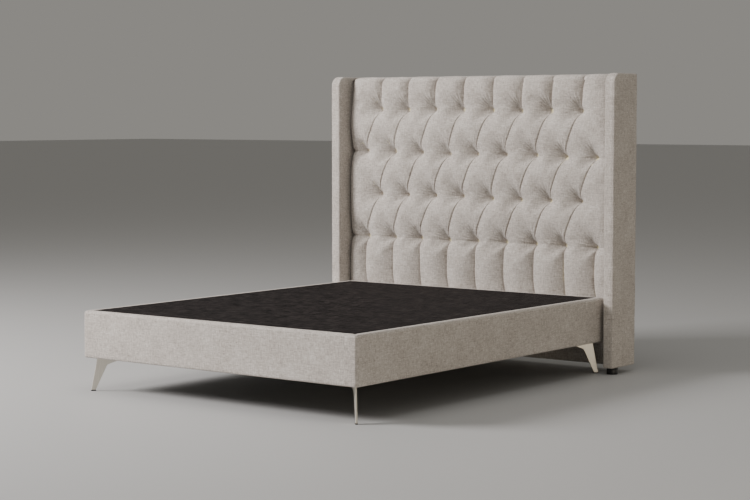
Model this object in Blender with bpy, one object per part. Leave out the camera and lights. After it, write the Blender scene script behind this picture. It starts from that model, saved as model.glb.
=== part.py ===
"""Upholstered bed: padded platform base on steel blade legs, with a winged, deep-tufted headboard.

Units are metres. +Z is up and +Y is the headboard end. The origin is on the floor, in the middle
of the bed's overall outline. Pieces that touch keep a gap of FIT between their faces.
"""
import math

import bmesh
import bpy
from mathutils import Matrix, Vector

# Overall sizes
BASE_WIDTH = 1.520
BASE_LENGTH = 1.880
BASE_HEIGHT = 0.206
LEG_HEIGHT = 0.148
HEADBOARD_HEIGHT = 1.394
WING_DEPTH = 0.210
WING_THICKNESS = 0.052
WING_LAP = 0.058
WING_GAP = 0.018
FIT = 0.0003

# Base upholstery
BORDER_PAD = 0.012
BORDER_CORNER_RADIUS = 0.020
BORDER_EDGE_RADIUS = 0.014
TOP_BAND = 0.036
TOP_BAND_THICKNESS = 0.004
UNDER_LAP = 0.030
UNDER_LAP_THICKNESS = 0.003
DECK_CLOTH = 0.003
DECK_FELT = 0.010
DECK_BOARD = 0.006
DUST_CLOTH = 0.001

# Base timber
RAIL_THICKNESS = 0.022
CENTRE_RAIL_THICKNESS = 0.045
SLAT_COUNT = 8
SLAT_WIDTH = 0.070
SLAT_THICKNESS = 0.018
BLOCK_SIZE = 0.078

# Blade legs and the centre leg
LEG_PLATE = 0.075
LEG_PLATE_THICKNESS = 0.004
BLADE_THICKNESS = 0.007
BLADE_TOE = 0.019
BLADE_TOE_INSET = 0.036
BLADE_SPLAY = 0.027
BLADE_WIDTH = 0.048
BLADE_WEB = 0.085
BLADE_WEB_DEPTH = 0.016
BLADE_SHOULDER = 0.036
BLADE_SHOULDER_EASE = (0.008, 0.005)
BLADE_EDGE_EASE = 0.0008
GLIDE_HEIGHT = 0.004
GLIDE_MARGIN = 0.002
CENTRE_LEG_RADIUS = 0.022
CENTRE_FLANGE_RADIUS = 0.034
CENTRE_FLANGE_HEIGHT = 0.006
CENTRE_PAD_RADIUS = 0.028
CENTRE_PAD_HEIGHT = 0.008

# Headboard
WING_PAD = 0.010
WING_FRONT_RADIUS = 0.047
WING_BACK_RADIUS = 0.010
WING_EDGE_RADIUS = 0.008
HEADBOARD_FOOT_HEIGHT = 0.030
HEADBOARD_FOOT_RADIUS = 0.026
HEADBOARD_FOOT_CHAMFER = 0.003
FRONT_FOOT_INSET = 0.045
REAR_FOOT_INSET = 0.028
PAD_FRONT = 0.004
PAD_DEPTH = 0.070
PAD_COVER = 0.024
PAD_TOP_RADIUS = 0.030
PAD_TUCK = 0.054
TOP_WRAP = 0.012
LOWER_PAD = 0.010
TUFT_BOARD = 0.009
BACK_CLOTH = 0.005
STILE_WIDTH = 0.045
HEADBOARD_RAIL = 0.070
MID_RAIL = 0.150
MID_RAIL_RISE = 0.030

# Tufting
TUFT_EDGE_MARGIN = 0.1057
TUFT_TOP_ROW_DROP = 0.172
TUFT_BOTTOM_ROW_RISE = 0.2305
TUFTS_PER_ROW = (8, 9, 8, 9)
TUFT_HOLE_RADIUS = 0.022
TIE_HOLE_RADIUS = 0.004

# Brackets that join the headboard to the base
BRACKET_X = 0.450
BRACKET_WIDTH = 0.040
BRACKET_HEIGHT = 0.080
BRACKET_THICKNESS = 0.005
BRACKET_DROP = 0.075
BOLT_RADIUS = 0.004
BOLT_HEAD_RADIUS = 0.0075
BOLT_HEAD = 0.0055
BOLT_CLEARANCE = 0.0005
BOLT_GRIP = 0.030

# Working allowances
SMALLEST_RADIUS = 0.001
CUT_OVERRUN = 0.003
BOLT_HOLE_DEPTH = 0.060
MERGE_DISTANCE = 0.00002

# Lines and planes that the pieces share
HALF_WIDTH = BASE_WIDTH / 2
OVERALL_LENGTH = BASE_LENGTH + WING_DEPTH - WING_LAP
FOOT_Y = -OVERALL_LENGTH / 2
HEAD_Y = FOOT_Y + BASE_LENGTH
BACK_Y = OVERALL_LENGTH / 2
WING_FRONT_Y = HEAD_Y - WING_LAP
WING_INNER_X = HALF_WIDTH + WING_GAP
WING_OUTER_X = WING_INNER_X + WING_THICKNESS
BASE_TOP = LEG_HEIGHT + BASE_HEIGHT
HEADBOARD_BOTTOM = HEADBOARD_FOOT_HEIGHT

FELT_TOP = BASE_TOP - TOP_BAND_THICKNESS - FIT
BOARD_TOP = FELT_TOP - DECK_FELT - FIT
SLAT_TOP = BOARD_TOP - DECK_BOARD - FIT
RAIL_TOP = SLAT_TOP - SLAT_THICKNESS - FIT
RAIL_BOTTOM = LEG_HEIGHT + UNDER_LAP_THICKNESS + FIT
RAIL_INSET = BORDER_PAD + FIT
RAIL_INNER = RAIL_INSET + RAIL_THICKNESS
BLOCK_INSET = RAIL_INNER + FIT
PLATE_INSET = BLOCK_INSET

PAD_FRONT_Y = HEAD_Y + PAD_FRONT
PAD_BACK_Y = PAD_FRONT_Y + PAD_DEPTH
FOAM_FRONT_Y = PAD_FRONT_Y + PAD_COVER + FIT
LOWER_FRONT_Y = PAD_BACK_Y - LOWER_PAD
TUFT_BOARD_Y = PAD_BACK_Y + FIT
FRAME_FRONT_Y = TUFT_BOARD_Y + TUFT_BOARD + FIT
BACK_CLOTH_Y = BACK_Y - BACK_CLOTH - UNDER_LAP_THICKNESS
FRAME_BACK_Y = BACK_CLOTH_Y - FIT
FRAME_BOTTOM = HEADBOARD_BOTTOM + UNDER_LAP_THICKNESS + FIT
FRAME_TOP = HEADBOARD_HEIGHT - TOP_WRAP - FIT
PAD_BOTTOM = BASE_TOP - PAD_TUCK
BRACKET_Z = PAD_BOTTOM - BRACKET_DROP
MID_RAIL_TOP = PAD_BOTTOM + MID_RAIL_RISE
PANEL_X = WING_INNER_X - FIT
STILE_OUTER_X = WING_INNER_X + WING_PAD
TUFT_PITCH = 2 * (PANEL_X - TUFT_EDGE_MARGIN) / (max(TUFTS_PER_ROW) - 1)
TUFT_TOP_Z = HEADBOARD_HEIGHT - TUFT_TOP_ROW_DROP
TUFT_ROW_PITCH = (TUFT_TOP_Z - BASE_TOP - TUFT_BOTTOM_ROW_RISE) / (len(TUFTS_PER_ROW) - 1)

# Corners of the base: name, side in X, side in Y
CORNERS = (("front_left", -1, -1), ("front_right", 1, -1), ("rear_left", -1, 1), ("rear_right", 1, 1))


def clear_scene():
    for item in list(bpy.data.objects):
        bpy.data.objects.remove(item, do_unlink=True)


def material(name, colour, roughness, metallic=0.0):
    surface = bpy.data.materials.new(name)
    surface.use_nodes = True
    shader = surface.node_tree.nodes["Principled BSDF"]
    shader.inputs["Base Color"].default_value = (*colour, 1.0)
    shader.inputs["Roughness"].default_value = roughness
    shader.inputs["Metallic"].default_value = metallic
    surface.diffuse_color = (*colour, 1.0)
    return surface


def place(name, bm, surface):
    """Close a bmesh, turn its faces outwards and link it to the scene as one named object."""
    bmesh.ops.remove_doubles(bm, verts=bm.verts, dist=MERGE_DISTANCE)
    bmesh.ops.recalc_face_normals(bm, faces=bm.faces)
    mesh = bpy.data.meshes.new(name)
    bm.to_mesh(mesh)
    bm.free()
    mesh.materials.append(surface)
    piece = bpy.data.objects.new(name, mesh)
    bpy.context.scene.collection.objects.link(piece)
    return piece


def box(name, low, high, surface):
    low, high = Vector(low), Vector(high)
    bm = bmesh.new()
    frame = Matrix.Translation((low + high) / 2) @ Matrix.Diagonal((*(high - low), 1.0))
    bmesh.ops.create_cube(bm, size=1.0, matrix=frame)
    return place(name, bm, surface)


def centred_box(name, x, low_yz, high_yz, width, surface):
    return box(name, (x - width / 2, *low_yz), (x + width / 2, *high_yz), surface)


def loft(bm, rings):
    """Skin closed rings of equal length, one after the other, and cap both ends."""
    rows = [[bm.verts.new(point) for point in ring] for ring in rings]
    count = len(rows[0])
    for one, two in zip(rows, rows[1:]):
        for i in range(count):
            j = (i + 1) % count
            bm.faces.new((one[i], one[j], two[j], two[i]))
    bm.faces.new(rows[0])
    bm.faces.new(list(reversed(rows[-1])))


def arc(centre, radius, start, stop, steps):
    """Points of an arc in a plane, angles in degrees."""
    points = []
    for i in range(steps + 1):
        angle = math.radians(start + (stop - start) * i / steps)
        points.append((centre[0] + radius * math.cos(angle), centre[1] + radius * math.sin(angle)))
    return points


def prism_x(name, outline_yz, low_x, high_x, surface):
    bm = bmesh.new()
    loft(bm, [[(x, y, z) for y, z in outline_yz] for x in (low_x, high_x)])
    return place(name, bm, surface)


def round_bar(name, centre, profile, surface, sides=20):
    """A turned piece on a vertical axis; profile lists (radius, z) from bottom to top."""
    bm = bmesh.new()
    rings = []
    for radius, z in profile:
        turn = [math.tau * i / sides for i in range(sides)]
        rings.append([(centre[0] + radius * math.cos(a), centre[1] + radius * math.sin(a), z) for a in turn])
    loft(bm, rings)
    return place(name, bm, surface)


def cut(piece, cutter):
    modifier = piece.modifiers.new("cut_" + cutter.name, "BOOLEAN")
    modifier.operation = "DIFFERENCE"
    modifier.solver = "EXACT"
    modifier.object = cutter
    cutter.hide_render = True
    cutter.display_type = "WIRE"


def rods_y(name, centres_xz, radius, low_y, high_y, surface, sides=8):
    """Parallel rods along Y in one object, used as a cutter."""
    bm = bmesh.new()
    for x, z in centres_xz:
        turn = [math.tau * (i + 0.5) / sides for i in range(sides)]
        ring = [(x + radius * math.cos(a), z + radius * math.sin(a)) for a in turn]
        loft(bm, [[(px, y, pz) for px, pz in ring] for y in (low_y, high_y)])
    return place(name, bm, surface)


def plan_corner(side_x, side_y, inset, angle):
    """Point of the base's outline, moved inwards by inset: rounded outside, square on the timber."""
    rounded = inset < min(BORDER_PAD, BORDER_CORNER_RADIUS)
    radius = BORDER_CORNER_RADIUS - inset if rounded else 0.0
    reach = BORDER_CORNER_RADIUS if rounded else inset
    middle_y = (FOOT_Y + HEAD_Y) / 2
    x = side_x * (HALF_WIDTH - reach + radius * math.cos(angle))
    y = middle_y + side_y * (BASE_LENGTH / 2 - reach + radius * math.sin(angle))
    return x, y


def border_profile():
    """Section of the padded border: inset from the outer face, and height."""
    low, top = LEG_HEIGHT, BASE_TOP
    edge = BORDER_EDGE_RADIUS
    soft = UNDER_LAP_THICKNESS
    profile = [(soft, low), (0.0, low + soft)]
    profile += [(edge - dx, top - edge + dz) for dx, dz in arc((0, 0), edge, 0, 90, 4)]
    profile += [(TOP_BAND, top), (TOP_BAND, top - TOP_BAND_THICKNESS)]
    profile += [(BORDER_PAD, top - TOP_BAND_THICKNESS), (BORDER_PAD, low + UNDER_LAP_THICKNESS)]
    profile += [(UNDER_LAP, low + UNDER_LAP_THICKNESS), (UNDER_LAP, low)]
    return profile


def border_side(name, corners, start_angles, surface):
    """One padded side, from the mitre of one corner to the mitre of the next."""
    profile = border_profile()
    rings = []
    for (side_x, side_y), (first, last) in zip(corners, start_angles):
        for step in range(4):
            angle = math.radians(first + (last - first) * step / 3)
            rings.append([(*plan_corner(side_x, side_y, inset, angle), z) for inset, z in profile])
    bm = bmesh.new()
    loft(bm, rings)
    bmesh.ops.remove_doubles(bm, verts=bm.verts, dist=MERGE_DISTANCE)
    trim_mitres(bm, corners)
    return place(name, bm, surface)


def trim_mitres(bm, corners):
    """Cut half the fitting gap off each mitred end, square to the mitre's plane."""
    middle = Vector((0.0, (FOOT_Y + HEAD_Y) / 2, BASE_TOP))
    side_middle = sum((Vector((HALF_WIDTH * x, BASE_LENGTH / 2 * y, 0)) for x, y in corners), Vector()) / 2
    for side_x, side_y in corners:
        corner = middle + Vector((HALF_WIDTH * side_x, BASE_LENGTH / 2 * side_y, 0))
        along = Vector((side_x, side_y, 0)).normalized()
        normal = Vector((-along.y, along.x, 0))
        if normal.dot(middle + side_middle - corner) > 0:
            normal = -normal
        geometry = bm.verts[:] + bm.edges[:] + bm.faces[:]
        result = bmesh.ops.bisect_plane(
            bm, geom=geometry, plane_co=corner - normal * (FIT / 2), plane_no=normal, clear_outer=True)
        edges = [item for item in result["geom_cut"] if isinstance(item, bmesh.types.BMEdge)]
        bmesh.ops.holes_fill(bm, edges=edges, sides=0)


def build_borders(fabric):
    border_side("border_foot", [(-1, -1), (1, -1)], [(45, 90), (90, 45)], fabric)
    border_side("border_head", [(1, 1), (-1, 1)], [(45, 90), (90, 45)], fabric)
    border_side("border_left", [(-1, 1), (-1, -1)], [(45, 0), (0, 45)], fabric)
    border_side("border_right", [(1, -1), (1, 1)], [(45, 0), (0, 45)], fabric)


def build_deck(board, felt, cloth, lining):
    """Layers on and under the base's timber."""
    def sheet(name, inset, low, high, surface):
        x = HALF_WIDTH - inset
        box(name, (-x, FOOT_Y + inset, low), (x, HEAD_Y - inset, high), surface)

    sheet("deck_cloth", TOP_BAND + FIT, BASE_TOP - DECK_CLOTH, BASE_TOP, cloth)
    sheet("deck_felt", RAIL_INSET, FELT_TOP - DECK_FELT, FELT_TOP, felt)
    sheet("deck_board", RAIL_INSET, BOARD_TOP - DECK_BOARD, BOARD_TOP, board)
    lining_low = LEG_HEIGHT + DUST_CLOTH
    sheet("base_dust_cover", UNDER_LAP + FIT, lining_low, lining_low + DUST_CLOTH, lining)


def build_base_timber(pine):
    outer_x = HALF_WIDTH - RAIL_INSET
    inner_x = HALF_WIDTH - RAIL_INNER
    foot, head = FOOT_Y + RAIL_INSET, HEAD_Y - RAIL_INSET
    low, top = RAIL_BOTTOM, RAIL_TOP
    box("base_left_rail", (-outer_x, foot, low), (-inner_x, head, top), pine)
    box("base_right_rail", (inner_x, foot, low), (outer_x, head, top), pine)
    end_x = inner_x - FIT
    foot_inner = foot + RAIL_THICKNESS
    head_inner = head - RAIL_THICKNESS
    box("base_foot_rail", (-end_x, foot, low), (end_x, foot_inner, top), pine)
    head_rail = box("base_head_rail", (-end_x, head_inner, low), (end_x, head, top), pine)
    centred_box("base_centre_rail", 0.0, (foot_inner + FIT, low), (head_inner - FIT, top),
                CENTRE_RAIL_THICKNESS, pine)
    for name, side_x, side_y in CORNERS:
        x = side_x * (HALF_WIDTH - BLOCK_INSET - BLOCK_SIZE / 2)
        edge = FOOT_Y if side_y < 0 else HEAD_Y
        y = edge - side_y * (BLOCK_INSET + BLOCK_SIZE / 2)
        half = BLOCK_SIZE / 2
        box("corner_block_" + name, (x - half, y - half, low), (x + half, y + half, top), pine)
    spacing = (head - foot - SLAT_WIDTH) / (SLAT_COUNT - 1)
    for i in range(SLAT_COUNT):
        y = foot + spacing * i
        box(f"deck_slat_{i + 1}", (-outer_x, y, RAIL_TOP + FIT), (outer_x, y + SLAT_WIDTH, SLAT_TOP), pine)
    return head_rail


def blade_outline():
    """Blade seen square on: distance along the corner's diagonal from the base's corner, and height."""
    top = LEG_HEIGHT - LEG_PLATE_THICKNESS / 2
    toe = BLADE_TOE_INSET
    heel_top = toe + BLADE_SPLAY
    shoulder_z = LEG_HEIGHT - BLADE_SHOULDER
    lean = BLADE_SPLAY * (shoulder_z - GLIDE_HEIGHT) / (top - GLIDE_HEIGHT)
    shoulder = toe + lean + BLADE_WIDTH
    low = GLIDE_HEIGHT + FIT
    eased = (shoulder + BLADE_SHOULDER_EASE[0], shoulder_z + BLADE_SHOULDER_EASE[1])
    web_end = heel_top + BLADE_WEB
    return [(toe, low), (toe + BLADE_TOE, low), (shoulder, shoulder_z), eased,
            (web_end, top - BLADE_WEB_DEPTH), (web_end, top), (heel_top, top)]


def build_leg(name, side_x, side_y, steel, plastic):
    corner = Vector((side_x * HALF_WIDTH, FOOT_Y if side_y < 0 else HEAD_Y, 0))
    inwards = Vector((-side_x, -side_y, 0)).normalized()
    across = Vector((-inwards.y, inwards.x, 0))
    up = Vector((0, 0, 1))
    half = BLADE_THICKNESS / 2

    bm = bmesh.new()
    loft(bm, [[corner + inwards * s + up * z + across * t for s, z in blade_outline()]
              for t in (-half, half)])
    blade = place("leg_" + name, bm, steel)
    bevel = blade.modifiers.new("eased_edges", "BEVEL")
    bevel.width = BLADE_EDGE_EASE
    bevel.segments = 1

    low = min(PLATE_INSET * -side_x, (PLATE_INSET + LEG_PLATE) * -side_x)
    low_y = min(PLATE_INSET * -side_y, (PLATE_INSET + LEG_PLATE) * -side_y)
    start = corner + Vector((low, low_y, LEG_HEIGHT - LEG_PLATE_THICKNESS))
    stop = start + Vector((LEG_PLATE, LEG_PLATE, LEG_PLATE_THICKNESS - FIT))
    plate = box("plate_of_" + name, start, stop, steel)
    weld = blade.modifiers.new("weld", "BOOLEAN")
    weld.operation = "UNION"
    weld.solver = "EXACT"
    weld.object = plate
    plate.hide_render = True
    plate.display_type = "WIRE"

    bm = bmesh.new()
    wide = half + GLIDE_MARGIN
    ends = (BLADE_TOE_INSET - GLIDE_MARGIN, BLADE_TOE_INSET + BLADE_TOE + GLIDE_MARGIN)
    outline = []
    for s, turn in ((ends[1] - wide, -90), (ends[0] + wide, 90)):
        outline += arc((s, 0), wide, turn, turn + 180, 5)
    loft(bm, [[corner + inwards * s + across * t + up * z for s, t in outline] for z in (0.0, GLIDE_HEIGHT)])
    place("glide_" + name, bm, plastic)


def build_legs(steel, plastic):
    for name, side_x, side_y in CORNERS:
        build_leg(name, side_x, side_y, steel, plastic)
    middle = (0.0, (FOOT_Y + HEAD_Y) / 2)
    top = LEG_HEIGHT - FIT
    foot = CENTRE_PAD_HEIGHT + FIT
    round_bar("centre_leg", middle,
              [(CENTRE_LEG_RADIUS, foot), (CENTRE_LEG_RADIUS, top - CENTRE_FLANGE_HEIGHT),
               (CENTRE_FLANGE_RADIUS, top - CENTRE_FLANGE_HEIGHT), (CENTRE_FLANGE_RADIUS, top)], plastic)
    round_bar("centre_leg_pad", middle,
              [(CENTRE_PAD_RADIUS, 0.0), (CENTRE_PAD_RADIUS, CENTRE_PAD_HEIGHT)], plastic)


def side_outline(inset):
    """Side view of a wing, moved inwards by inset: y and height."""
    front, back = WING_FRONT_Y + inset, BACK_Y - inset
    low, top = HEADBOARD_BOTTOM + inset, HEADBOARD_HEIGHT - inset
    front_radius = WING_FRONT_RADIUS - inset
    back_radius = max(WING_BACK_RADIUS - inset, SMALLEST_RADIUS)
    outline = [(front, low), (back, low)]
    outline += arc((back - back_radius, top - back_radius), back_radius, 0, 90, 3)
    outline += arc((front + front_radius, top - front_radius), front_radius, 90, 180, 8)
    return outline


def build_wing(name, side, fabric, pine, plastic):
    inner, outer = side * WING_INNER_X, side * WING_OUTER_X
    cover = prism_x("wing_cover_" + name, side_outline(0.0), inner, outer, fabric)
    bevel = cover.modifiers.new("soft_edges", "BEVEL")
    bevel.width = WING_EDGE_RADIUS
    bevel.segments = 2
    bevel.limit_method = "ANGLE"
    bevel.angle_limit = math.radians(50)

    hollow = prism_x("hollow_" + name, side_outline(WING_PAD), inner + side * WING_PAD,
                     outer - side * WING_PAD, pine)
    cut(cover, hollow)
    slot_low = (FRAME_FRONT_Y - FIT, FRAME_BOTTOM - FIT)
    slot_high = (FRAME_BACK_Y + FIT, FRAME_TOP + FIT)
    slot_width = 2 * (WING_PAD + SMALLEST_RADIUS)
    slot = centred_box("slot_" + name, inner, slot_low, slot_high, slot_width, pine)
    cut(cover, slot)
    prism_x("wing_board_" + name, side_outline(WING_PAD + FIT), inner + side * (WING_PAD + FIT),
            outer - side * (WING_PAD + FIT), pine)

    front = ((inner + outer) / 2, WING_FRONT_Y + FRONT_FOOT_INSET)
    rear = (side * (HALF_WIDTH - REAR_FOOT_INSET), (FRAME_FRONT_Y + FRAME_BACK_Y) / 2)
    for end, spot in (("front", front), ("rear", rear)):
        radius, top = HEADBOARD_FOOT_RADIUS, HEADBOARD_BOTTOM - FIT
        chamfer = HEADBOARD_FOOT_CHAMFER
        profile = [(radius - chamfer, 0.0), (radius, chamfer), (radius, top)]
        round_bar(f"headboard_foot_{end}_{name}", spot, profile, plastic)


def tuft_points():
    """Centres of the tufts, as x and height, row by row from the top."""
    points = []
    for row, count in enumerate(TUFTS_PER_ROW):
        z = TUFT_TOP_Z - row * TUFT_ROW_PITCH
        points += [((i - (count - 1) / 2) * TUFT_PITCH, z) for i in range(count)]
    return points


def build_headboard_timber(pine, ply):
    stile_x = PANEL_X - STILE_WIDTH
    front, back = FRAME_FRONT_Y, FRAME_BACK_Y
    for name, side in (("left", -1), ("right", 1)):
        edges = sorted((side * stile_x, side * STILE_OUTER_X))
        box("headboard_stile_" + name, (edges[0], front, FRAME_BOTTOM), (edges[1], back, FRAME_TOP), pine)
    reach = stile_x - FIT
    rail_tops = {"bottom": (FRAME_BOTTOM, FRAME_BOTTOM + HEADBOARD_RAIL),
                 "mid": (MID_RAIL_TOP - MID_RAIL, MID_RAIL_TOP),
                 "top": (FRAME_TOP - HEADBOARD_RAIL, FRAME_TOP)}
    rails = {}
    for name, (low, high) in rail_tops.items():
        rails[name] = box(f"headboard_{name}_rail", (-reach, front, low), (reach, back, high), pine)
    centred_box("headboard_centre_stile", 0.0, (front, MID_RAIL_TOP + FIT),
                (back, FRAME_TOP - HEADBOARD_RAIL - FIT), STILE_WIDTH, pine)
    board = box("tuft_board", (-PANEL_X, TUFT_BOARD_Y, FRAME_BOTTOM),
                (PANEL_X, TUFT_BOARD_Y + TUFT_BOARD, FRAME_TOP), ply)
    ties = rods_y("tie_holes", tuft_points(), TIE_HOLE_RADIUS, TUFT_BOARD_Y - CUT_OVERRUN,
                  FRAME_FRONT_Y + CUT_OVERRUN, pine, 6)
    cut(board, ties)
    return rails["mid"], board


def build_headboard_padding(fabric, foam_surface, lining):
    top = HEADBOARD_HEIGHT
    foam = box("headboard_foam", (-PANEL_X, FOAM_FRONT_Y, PAD_BOTTOM + FIT),
               (PANEL_X, PAD_BACK_Y, FRAME_TOP), foam_surface)
    pits = rods_y("tuft_holes", tuft_points(), TUFT_HOLE_RADIUS, FOAM_FRONT_Y - CUT_OVERRUN,
                  PAD_BACK_Y + CUT_OVERRUN, foam_surface, 10)
    cut(foam, pits)

    radius = PAD_TOP_RADIUS
    front, back = PAD_FRONT_Y, BACK_Y - UNDER_LAP_THICKNESS
    cover_back = PAD_FRONT_Y + PAD_COVER
    outline = [(front, PAD_BOTTOM)]
    outline += list(reversed(arc((front + radius, top - radius), radius, 90, 180, 5)))
    outline += [(back, top), (back, FRAME_TOP + FIT), (cover_back, FRAME_TOP + FIT), (cover_back, PAD_BOTTOM)]
    prism_x("tufted_cover", outline, -PANEL_X, PANEL_X, fabric)

    low, skirt = HEADBOARD_BOTTOM, UNDER_LAP_THICKNESS
    outline = [(LOWER_FRONT_Y, low), (back, low), (back, low + skirt), (PAD_BACK_Y, low + skirt),
               (PAD_BACK_Y, PAD_BOTTOM - FIT), (LOWER_FRONT_Y, PAD_BOTTOM - FIT)]
    lower = prism_x("lower_panel_cover", outline, -PANEL_X, PANEL_X, fabric)
    box("headboard_back_cover", (-PANEL_X, BACK_CLOTH_Y, FRAME_BOTTOM),
        (PANEL_X, BACK_CLOTH_Y + BACK_CLOTH, FRAME_TOP), lining)
    return lower


def build_bracket(name, x, steel):
    """A bent steel channel: a flange on the base, a flange on the headboard, and a web between."""
    front, back = HEAD_Y + FIT, LOWER_FRONT_Y - FIT
    low = BRACKET_Z - BRACKET_HEIGHT / 2
    high = BRACKET_Z + BRACKET_HEIGHT / 2
    wall = BRACKET_THICKNESS
    outline = [(front, low), (back, low), (back, high), (back - wall, high), (back - wall, low + wall),
               (front + wall, low + wall), (front + wall, high), (front, high)]
    half = BRACKET_WIDTH / 2
    return prism_x("bracket_" + name, outline, x - half, x + half, steel)


def build_bolt(name, x, face_y, direction, steel):
    """Hex-head bolt: the head stands on face_y, and the shank runs along direction (+1 or -1 in Y)."""
    def ring(radius, y, sides, turn=0.0):
        steps = [math.tau * i / sides + turn for i in range(sides)]
        return [(x + radius * math.cos(a), y, BRACKET_Z + radius * math.sin(a)) for a in steps]

    head_face = face_y - direction * FIT
    head_back = head_face - direction * BOLT_HEAD
    tip = head_face + direction * BOLT_GRIP
    bm = bmesh.new()
    loft(bm, [ring(BOLT_HEAD_RADIUS, head_back, 12), ring(BOLT_HEAD_RADIUS, head_face, 12),
              ring(BOLT_RADIUS, head_face, 12), ring(BOLT_RADIUS, tip, 12)])
    place(name, bm, steel)


def build_fixings(pieces, steel):
    """Brackets with their bolts, and the bolt holes through the pieces that they join."""
    places = (("left", -BRACKET_X), ("right", BRACKET_X))
    head_side, board_side = pieces
    bore = BOLT_RADIUS + BOLT_CLEARANCE
    centres = [(x, BRACKET_Z) for _, x in places]
    reach = BRACKET_THICKNESS + CUT_OVERRUN
    base_hole = rods_y("base_bolt_holes", centres, bore, HEAD_Y - BOLT_HOLE_DEPTH, HEAD_Y + reach, steel, 12)
    board_hole = rods_y("board_bolt_holes", centres, bore, LOWER_FRONT_Y - reach,
                        LOWER_FRONT_Y + BOLT_HOLE_DEPTH, steel, 12)
    for piece in head_side:
        cut(piece, base_hole)
    for piece in board_side:
        cut(piece, board_hole)
    for name, x in places:
        bracket = build_bracket(name, x, steel)
        cut(bracket, base_hole)
        cut(bracket, board_hole)
        build_bolt(f"base_bolt_{name}", x, HEAD_Y + FIT + BRACKET_THICKNESS, -1, steel)
        build_bolt(f"headboard_bolt_{name}", x, LOWER_FRONT_Y - FIT - BRACKET_THICKNESS, 1, steel)


clear_scene()
FABRIC = material("woven_upholstery_fabric", (0.515, 0.474, 0.434), 0.92)
DECK = material("dark_deck_cloth", (0.030, 0.025, 0.025), 0.85)
FELT = material("grey_felt", (0.20, 0.20, 0.19), 0.95)
FOAM = material("upholstery_foam", (0.70, 0.62, 0.42), 0.90)
LINING = material("black_dust_cloth", (0.012, 0.012, 0.013), 0.90)
PINE = material("pine", (0.56, 0.37, 0.19), 0.60)
PLY = material("plywood", (0.48, 0.31, 0.16), 0.65)
STEEL = material("satin_steel", (0.56, 0.53, 0.49), 0.30, 1.0)
PLASTIC = material("black_plastic", (0.008, 0.009, 0.009), 0.45)

build_borders(FABRIC)
build_deck(PLY, FELT, DECK, LINING)
HEAD_RAIL = build_base_timber(PINE)
build_legs(STEEL, PLASTIC)
build_wing("left", -1, FABRIC, PINE, PLASTIC)
build_wing("right", 1, FABRIC, PINE, PLASTIC)
MID_RAIL_PIECE, TUFT_BOARD_PIECE = build_headboard_timber(PINE, PLY)
LOWER_COVER = build_headboard_padding(FABRIC, FOAM, LINING)
BORDER_HEAD = bpy.data.objects["border_head"]
build_fixings(((BORDER_HEAD, HEAD_RAIL), (LOWER_COVER, TUFT_BOARD_PIECE, MID_RAIL_PIECE)), STEEL)
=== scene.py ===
"""Looks of the upholstered bed: tufted headboard, padded base, blade legs, linings and fixings.

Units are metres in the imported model's own frame: +Z up, +Y towards the headboard, origin on the floor.
"""
import math

import bmesh
import bpy
import numpy as np
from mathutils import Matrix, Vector, noise


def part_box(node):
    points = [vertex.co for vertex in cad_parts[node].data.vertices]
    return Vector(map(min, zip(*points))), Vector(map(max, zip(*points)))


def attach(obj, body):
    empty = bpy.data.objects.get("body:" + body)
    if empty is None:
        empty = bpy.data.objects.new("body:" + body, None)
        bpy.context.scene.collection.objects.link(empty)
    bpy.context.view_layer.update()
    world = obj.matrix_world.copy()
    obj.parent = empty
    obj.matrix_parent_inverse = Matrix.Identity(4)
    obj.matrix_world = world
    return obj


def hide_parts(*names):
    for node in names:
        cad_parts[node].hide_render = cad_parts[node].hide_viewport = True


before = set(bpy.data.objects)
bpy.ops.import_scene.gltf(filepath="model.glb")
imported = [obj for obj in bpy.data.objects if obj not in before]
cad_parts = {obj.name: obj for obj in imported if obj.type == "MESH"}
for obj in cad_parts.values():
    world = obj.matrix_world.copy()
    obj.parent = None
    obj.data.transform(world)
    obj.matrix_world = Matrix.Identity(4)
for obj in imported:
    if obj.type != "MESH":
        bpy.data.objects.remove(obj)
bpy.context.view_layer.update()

BODY = "root"

# Places that come from the frame
PAD_LOW, PAD_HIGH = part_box("tufted_cover")
FOAM_LOW, FOAM_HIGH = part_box("headboard_foam")
WING_LOW, WING_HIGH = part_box("wing_cover_right")
LOWER_LOW, LOWER_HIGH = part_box("lower_panel_cover")
BACK_LOW, BACK_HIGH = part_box("headboard_back_cover")
BOARD_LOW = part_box("tuft_board")[0]
STILE_LOW, STILE_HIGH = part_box("headboard_stile_right")
FOOT_LOW, FOOT_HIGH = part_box("border_foot")
DECK_LOW, DECK_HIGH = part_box("deck_cloth")
DUST_LOW, DUST_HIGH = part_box("base_dust_cover")

HALF_WIDTH = FOOT_HIGH.x
FOOT_Y = FOOT_LOW.y
HEAD_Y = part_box("border_head")[1].y
BASE_TOP = FOOT_HIGH.z
BASE_BOTTOM = FOOT_LOW.z
CORNERS = ("front_left", "front_right", "rear_left", "rear_right")
FIT = 0.0003
WELD = 0.00001

# Base border
BORDER_PAD = 0.012
BORDER_CORNER_RADIUS = 0.011
BORDER_EDGE_RADIUS = 0.014
BORDER_LOW_RADIUS = 0.009
TOP_BAND_THICKNESS = 0.004
UNDER_LAP_THICKNESS = 0.003
UNDER_LAP = 0.030
BORDER_CROWN = 0.0008
BORDER_TAKE_UP = 0.0012
SEAM_DEPTH = SEAM_REACH = 0.0022
PUCKER_DEPTH, PUCKER_REACH = 0.0007, 0.05
BORDER_WAVES = ((0.16, 0.0010, 5.0), (0.045, 0.0005, 9.0))
LOWER_PANEL_WAVES = ((0.14, 0.0012, 6.0), (0.04, 0.00048, 7.0))
LEG_PLATE = 0.075
LEG_PLATE_INSET = 0.0346
LEG_PLATE_THICKNESS = 0.004
LEG_SCREW_MARGIN = 0.011

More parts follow.
